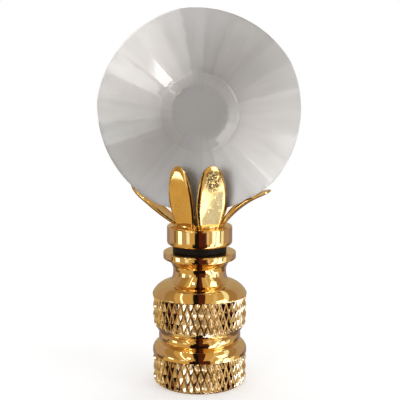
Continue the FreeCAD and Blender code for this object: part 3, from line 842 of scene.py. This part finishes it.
# The azimuth where each starts, in degrees from the camera's side, plus to the right
LEVEL_RING = (
    (-180, TAUPE_WALL), (-133, BUFF_WALL), (-100, BROWN_FLAG), (-94, OLIVE_CARD),
    (-81, WHITE_BOX), (-67, TAN_CARD), (-47, CREAM_CARD), (-36, GOLD_CARD), (-18, BLACK_FLAG),
    (-4, RUST_FLAG), (21, BROWN_FLAG), (25, PEACH_CARD), (31, GOLD_CARD), (43, CREAM_CARD),
    (47, WHITE_BOX), (55, GREY_BOX), (61, WHITE_BOX), (73, OLIVE_CARD), (80, CREAM_CARD),
    (92, BUFF_WALL), (125, TAUPE_WALL),
)
UPPER_RING = (
    (-180, SAND_WALL), (-120, BUFF_WALL), (-80, UMBER_CARD), (-45, GOLD_CARD),
    (-32, WHITE_BOX), (-29, GOLD_CARD), (-11, BLACK_FLAG), (-2, RUST_FLAG), (8, GOLD_CARD),
    (20, STRAW_CARD), (27, GOLD_CARD), (42, CREAM_CARD), (56, UMBER_CARD), (90, BUFF_WALL),
    (125, SAND_WALL),
)
LOWER_RING = (
    (-180, TAUPE_WALL), (-130, BROWN_FLAG), (-100, GOLD_CARD), (-26, BLACK_FLAG),
    (-2, RUST_FLAG), (26, GOLD_CARD), (38, WHITE_BOX), (48, GREY_BOX), (60, WHITE_BOX),
    (80, CREAM_CARD), (92, GOLD_CARD), (115, BROWN_FLAG), (140, TAUPE_WALL),
)
FOOT_RING = (
    (-180, BROWN_FLAG), (-120, GOLD_CARD), (-32, BLACK_FLAG), (30, WHITE_BOX), (48, GREY_BOX),
    (60, WHITE_BOX), (68, GOLD_CARD), (120, BROWN_FLAG),
)
# How steeply a reflection looks up, as the sine of its angle, where one ring fades into the next
LEVEL_TO_UPPER = (-0.10, 0.0)
LEVEL_TO_LOWER = (-0.24, -0.28)
LOWER_TO_FOOT = (-0.42, -0.50)
# How much of a reflection's height counts as forward where the upper ring's azimuth is told
UPPER_LEAN = 0.9


def ring_of_panels(tree, turn, panels, blend="CONSTANT"):
    """Colour of the panel that stands at an angle, given in radians."""
    around = spread(tree, turn, -math.pi, math.pi, 0.0, 1.0)
    ramp = put(tree, "ShaderNodeValToRGB", {"Fac": around})
    ramp.color_ramp.interpolation = blend
    stops = ramp.color_ramp.elements
    stops[0].position, stops[0].color = 0.0, solid(panels[0][1])
    stops[1].position, stops[1].color = 1.0, solid(panels[0][1])
    for degrees, colour in panels[1:]:
        stop = stops.new((degrees + 180) / 360)
        stop.color = solid(colour)
    return ramp.outputs["Color"]


# The cards behind the finial that its cut glass shows: the angle of each one's middle, in
# degrees from the right, turning up, as seen from the camera
BACKDROP_CARDS = (
    (-180, (2.45, 2.43, 2.40)), (-160, (1.50, 1.48, 1.46)), (-143, (0.62, 0.61, 0.60)),
    (-120, (0.20, 0.195, 0.19)), (-98, (0.45, 0.445, 0.44)), (-82, (2.90, 2.88, 2.85)),
    (-60, (4.30, 4.26, 4.22)), (-30, (4.10, 4.06, 4.02)), (0, (2.10, 2.08, 2.06)),
    (32, (0.78, 0.77, 0.76)), (62, (1.05, 1.04, 1.03)), (90, (2.10, 2.08, 2.06)),
    (120, (1.90, 1.88, 1.86)), (150, (2.10, 2.08, 2.06)),
)
BACKDROP_MIDDLE = (0.75, 0.74, 0.73)
# How far the line of sight falls, and how far from it the middle fades into the cards
SIGHT_FALL = 0.15
MIDDLE_FADE = (0.10, 0.22)


def backdrop(tree, way):
    """What stands behind the finial by the angle round the line of sight."""
    rise = maths(tree, "ADD", way.outputs["Z"], SIGHT_FALL)
    aside = way.outputs["X"]
    cards = ring_of_panels(tree, maths(tree, "ARCTAN2", rise, aside), BACKDROP_CARDS, "LINEAR")
    apart = maths(tree, "SQRT", maths(tree, "ADD", maths(tree, "MULTIPLY", rise, rise),
                                      maths(tree, "MULTIPLY", aside, aside)))
    return blended(tree, spread(tree, apart, *MIDDLE_FADE, 0.0, 1.0), solid(BACKDROP_MIDDLE),
                   cards)


WHITE = (1.0, 1.0, 1.0)
# What the room lends to faces that are neither polished nor clear
ROOM_LIGHT = (0.75, 0.75, 0.75)


def light_path(tree):
    """The light path's node, and whether a ray comes from the camera or through glass."""
    path = put(tree, "ShaderNodeLightPath")
    return path, maths(tree, "MAXIMUM", path.outputs["Is Camera Ray"],
                       path.outputs["Is Transmission Ray"])


def make_world():
    """White behind the finial, cards behind its glass, and the studio's panels in its gloss."""
    world = bpy.data.worlds.new("studio")
    bpy.context.scene.world = world
    world.use_nodes = True
    tree = world.node_tree
    tree.nodes.clear()
    way = put(tree, "ShaderNodeTexCoord").outputs["Generated"]
    split = put(tree, "ShaderNodeSeparateXYZ", {"Vector": way})
    azimuth = maths(tree, "ARCTAN2", split.outputs["X"],
                    maths(tree, "MULTIPLY", split.outputs["Y"], -1.0))
    ahead = maths(tree, "SUBTRACT", maths(tree, "MULTIPLY", split.outputs["Z"], UPPER_LEAN),
                  split.outputs["Y"])
    leaning = maths(tree, "ARCTAN2", split.outputs["X"], ahead)
    studio = ring_of_panels(tree, azimuth, LEVEL_RING)
    for turn, panels, fade in ((leaning, UPPER_RING, LEVEL_TO_UPPER),
                               (azimuth, LOWER_RING, LEVEL_TO_LOWER),
                               (azimuth, FOOT_RING, LOWER_TO_FOOT)):
        share = spread(tree, split.outputs["Z"], *fade, 0.0, 1.0)
        studio = blended(tree, share, studio, ring_of_panels(tree, turn, panels))
    path, seen = light_path(tree)
    polished = maths(tree, "SUBTRACT", path.outputs["Is Glossy Ray"], seen, clamp=True)
    through = maths(tree, "SUBTRACT", path.outputs["Is Transmission Ray"],
                    path.outputs["Is Camera Ray"], clamp=True)
    plain = blended(tree, seen, solid(ROOM_LIGHT), solid(WHITE))
    plain = blended(tree, through, plain, backdrop(tree, split))
    colour = blended(tree, polished, plain, studio)
    background = put(tree, "ShaderNodeBackground", {"Color": colour, "Strength": 1.0})
    output = put(tree, "ShaderNodeOutputWorld")
    tree.links.new(background.outputs["Background"], output.inputs["Surface"])


FLOOR_PAPER = (0.82, 0.82, 0.82)
# Light that the floor gives off towards the camera, so that it is as white as the background
FLOOR_GLOW = 0.30
# Shares of the floor's radius between which it fades out
FLOOR_FADE = (0.45, 0.95)


def make_floor(sizes):
    """A pale round floor that fades into the white background."""
    bm = bmesh.new()
    bmesh.ops.create_circle(bm, cap_ends=True, segments=96, radius=sizes.floor_radius)
    mesh = bpy.data.meshes.new("floor")
    bm.to_mesh(mesh)
    bm.free()
    material = bpy.data.materials.new("pale_floor")
    material.use_nodes = True
    tree = material.node_tree
    tree.nodes.clear()
    place = put(tree, "ShaderNodeTexCoord").outputs["Object"]
    apart = put(tree, "ShaderNodeVectorMath", {0: place}, operation="LENGTH").outputs["Value"]
    fade = spread(tree, apart, sizes.floor_radius * FLOOR_FADE[0],
                  sizes.floor_radius * FLOOR_FADE[1], 0.0, 1.0)
    seen = light_path(tree)[1]
    paper = put(tree, "ShaderNodeBsdfDiffuse", {"Color": solid(FLOOR_PAPER)})
    glow = put(tree, "ShaderNodeEmission", {
        "Color": solid(WHITE), "Strength": maths(tree, "MULTIPLY", seen, FLOOR_GLOW)})
    both = put(tree, "ShaderNodeAddShader", {0: paper.outputs[0], 1: glow.outputs[0]})
    clear = put(tree, "ShaderNodeBsdfTransparent")
    mixed = put(tree, "ShaderNodeMixShader", {0: fade, 1: both.outputs[0], 2: clear.outputs[0]})
    output = put(tree, "ShaderNodeOutputMaterial")
    tree.links.new(mixed.outputs[0], output.inputs["Surface"])
    mesh.materials.append(material)
    floor = bpy.data.objects.new("floor", mesh)
    bpy.context.scene.collection.objects.link(floor)
    floor.visible_glossy = False


def aim(thing, target):
    """Turn a lamp or camera to face a point."""
    away = thing.location - Vector(target)
    thing.rotation_euler = away.to_track_quat("Z", "Y").to_euler()


# Azimuth and elevation in degrees, distance and width in metres, share of the lamp power
LAMPS = {
    "upper_left_softbox": (-27.0, 21.5, 0.41, 0.055, 0.3),
    "right_softbox": (60.0, 25.0, 0.45, 0.20, 0.8),
    "top_softbox": (170.0, 70.0, 0.45, 0.25, 0.8),
}
LAMP_TARGET = Vector((0, 0, 0.028))


def make_lamp(name, azimuth, elevation, distance, size, power):
    """A square softbox that faces the finial."""
    data = bpy.data.lights.new(name, "AREA")
    data.shape = "SQUARE"
    data.size = size
    data.energy = power
    lamp = bpy.data.objects.new(name, data)
    bpy.context.scene.collection.objects.link(lamp)
    a, e = math.radians(azimuth), math.radians(elevation)
    lamp.location = LAMP_TARGET + distance * Vector(
        (math.sin(a) * math.cos(e), -math.cos(a) * math.cos(e), math.sin(e)))
    aim(lamp, LAMP_TARGET)


# Where the camera stands, in metres, the point that it faces, and its sideways shift
CAMERA_PLACE = (0.0, -0.1249, 0.0443)
CAMERA_TARGET = (0.0, 0.0, 0.02493)
CAMERA_SHIFT = 0.0009


def make_camera(sizes):
    """Set up the camera that sees the finial as the photograph does."""
    data = bpy.data.cameras.new("camera")
    data.lens = sizes.lens
    data.sensor_width = 36.0
    data.clip_start = 0.01
    data.clip_end = 10.0
    camera = bpy.data.objects.new("camera", data)
    bpy.context.scene.collection.objects.link(camera)
    camera.location = CAMERA_PLACE
    data.shift_x = CAMERA_SHIFT
    aim(camera, CAMERA_TARGET)
    bpy.context.scene.camera = camera


# Operators and panel


class FINIAL_OT_base(bpy.types.Operator):
    """Build the knurled base with its thread"""

    bl_idname = "finial.base"
    bl_label = "Knurled base"

    def execute(self, context):
        scene = context.scene
        colours = scene.finial_colours
        material = brass("polished_turned_brass", colours.turned_brass, colours.groove,
                         turned_on_lathe=True)
        make_base(scene.finial_base, material)
        return {"FINISHED"}


class FINIAL_OT_rings(bpy.types.Operator):
    """Build the collar and the black washer under it"""

    bl_idname = "finial.rings"
    bl_label = "Collar and washer"

    def execute(self, context):
        scene = context.scene
        make_collar(scene.finial_cup, bpy.data.materials["polished_turned_brass"])
        make_washer(scene.finial_cup, rubber("black_fibre", scene.finial_colours.washer))
        return {"FINISHED"}


class FINIAL_OT_cup(bpy.types.Operator):
    """Build the cast petal cup"""

    bl_idname = "finial.cup"
    bl_label = "Petal cup"

    def execute(self, context):
        scene = context.scene
        colours = scene.finial_colours
        material = brass("polished_cast_brass", colours.cast_brass, colours.tarnish,
                         turned_on_lathe=False)
        make_cup(scene.finial_cup, material)
        return {"FINISHED"}


class FINIAL_OT_screw(bpy.types.Operator):
    """Give the fixing screw its zinc finish"""

    bl_idname = "finial.screw"
    bl_label = "Fixing screw"

    def execute(self, context):
        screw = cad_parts["fixing_screw"]
        screw.data.materials.clear()
        screw.data.materials.append(zinc("zinc_plate", context.scene.finial_colours.steel))
        return {"FINISHED"}


class FINIAL_OT_crystal(bpy.types.Operator):
    """Build the cut crystal disc"""

    bl_idname = "finial.crystal"
    bl_label = "Crystal"

    def execute(self, context):
        scene = context.scene
        sizes = scene.finial_crystal
        colours = scene.finial_colours
        material = cut_glass("cut_crystal", colours.crystal, colours.smoke, sizes)
        make_crystal(sizes, material)
        return {"FINISHED"}


class FINIAL_OT_stage(bpy.types.Operator):
    """Set up the floor, the lights and the camera"""

    bl_idname = "finial.stage"
    bl_label = "Stage"

    def execute(self, context):
        scene = context.scene
        sizes = scene.finial_stage
        scene.view_settings.view_transform = "Standard"
        make_world()
        make_floor(sizes)
        for name, (azimuth, elevation, distance, width, share) in LAMPS.items():
            make_lamp(name, azimuth, elevation, distance, width, sizes.lamp_power * share)
        make_camera(sizes)
        return {"FINISHED"}


class FINIAL_PT_panel(bpy.types.Panel):
    """Lists the finial's steps and sizes"""

    bl_idname = "FINIAL_PT_panel"
    bl_label = "Crystal Lamp Finial"
    bl_space_type = "VIEW_3D"
    bl_region_type = "UI"
    bl_category = "Finial"

    def draw(self, context):
        for operator in OPERATORS:
            self.layout.operator(operator.bl_idname)
        for name, *_ in SETTINGS:
            group = getattr(context.scene, name)
            box = self.layout.box()
            for key in group.bl_rna.properties.keys():
                if key not in ("rna_type", "name"):
                    box.prop(group, key)


OPERATORS = (FINIAL_OT_base, FINIAL_OT_rings, FINIAL_OT_cup, FINIAL_OT_screw, FINIAL_OT_crystal,
             FINIAL_OT_stage)
SETTINGS = (
    ("finial_base", FinialBaseSettings, "Sizes of the base"),
    ("finial_cup", FinialCupSettings, "Sizes of the cup, collar and washer"),
    ("finial_crystal", FinialCrystalSettings, "Sizes of the crystal"),
    ("finial_colours", FinialColours, "Colours of the finishes"),
    ("finial_stage", FinialStageSettings, "Floor, lights and camera"),
)


def register():
    for name, group, note in SETTINGS:
        bpy.utils.register_class(group)
        setattr(bpy.types.Scene, name, bpy.props.PointerProperty(type=group, description=note))
    for operator in OPERATORS:
        bpy.utils.register_class(operator)
    bpy.utils.register_class(FINIAL_PT_panel)


def unregister():
    bpy.utils.unregister_class(FINIAL_PT_panel)
    for operator in reversed(OPERATORS):
        bpy.utils.unregister_class(operator)
    for name, group, _ in reversed(SETTINGS):
        delattr(bpy.types.Scene, name)
        bpy.utils.unregister_class(group)


def main():
    register()
    bpy.ops.finial.base()
    bpy.ops.finial.rings()
    bpy.ops.finial.cup()
    bpy.ops.finial.screw()
    bpy.ops.finial.crystal()
    bpy.ops.finial.stage()


if __name__ == "__main__":
    main()
